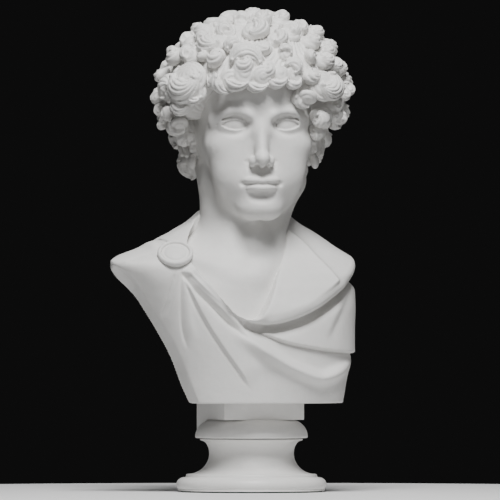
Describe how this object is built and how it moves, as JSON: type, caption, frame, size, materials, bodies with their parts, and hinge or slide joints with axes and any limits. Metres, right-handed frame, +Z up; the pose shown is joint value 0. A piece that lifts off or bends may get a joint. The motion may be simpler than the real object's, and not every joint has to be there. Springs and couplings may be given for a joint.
{
  "type": "marble portrait bust",
  "caption": "Life-size draped marble bust with a curly-haired head turned to its right, a round brooch, a hollowed back, an index block and a turned foot.",
  "frame": {"origin": "centre of the foot's flat resting face, on the axis of the turned foot", "axes": "+Z up; -Y is the way the chest and the index block face; -X is the figure's right, where the brooch is"},
  "size_m": [0.3114, 0.2415, 0.58],
  "materials": {
    "bust_marble": "fine white statuary marble, rubbed matte",
    "foot_marble": "fine white statuary marble, turned and rubbed",
    "felt": "pressed wool felt",
    "brass": "drawn and dulled",
    "steel": "drawn stainless bar",
    "lead_washer": "dull grey sheet metal",
    "grout": "lime putty, rough"
  },
  "bodies": {
    "foot": {"foot": "foot_marble", "felt_pad": "felt", "pin_bush": "brass"},
    "washer": {"bedding_washer": "lead_washer"},
    "bust": {"index_block": "bust_marble", "chest": "bust_marble", "head": "bust_marble", "neck_bedding": "grout", "neck_dowel": "steel", "brooch": "bust_marble", "brooch_pin": "brass", "turning_pin": "steel", "pin_grout": "grout"}
  },
  "joints": [
    {"name": "bust_turn", "type": "hinge", "parent": "foot", "child": "washer", "pos_m": [0, 0, 0.064], "axis": [0, 0, 1], "continuous": true},
    {"name": "bust_lift", "type": "slide", "parent": "washer", "child": "bust", "axis": [0, 0, 1], "range_m": [0, 0.06]}
  ]
}
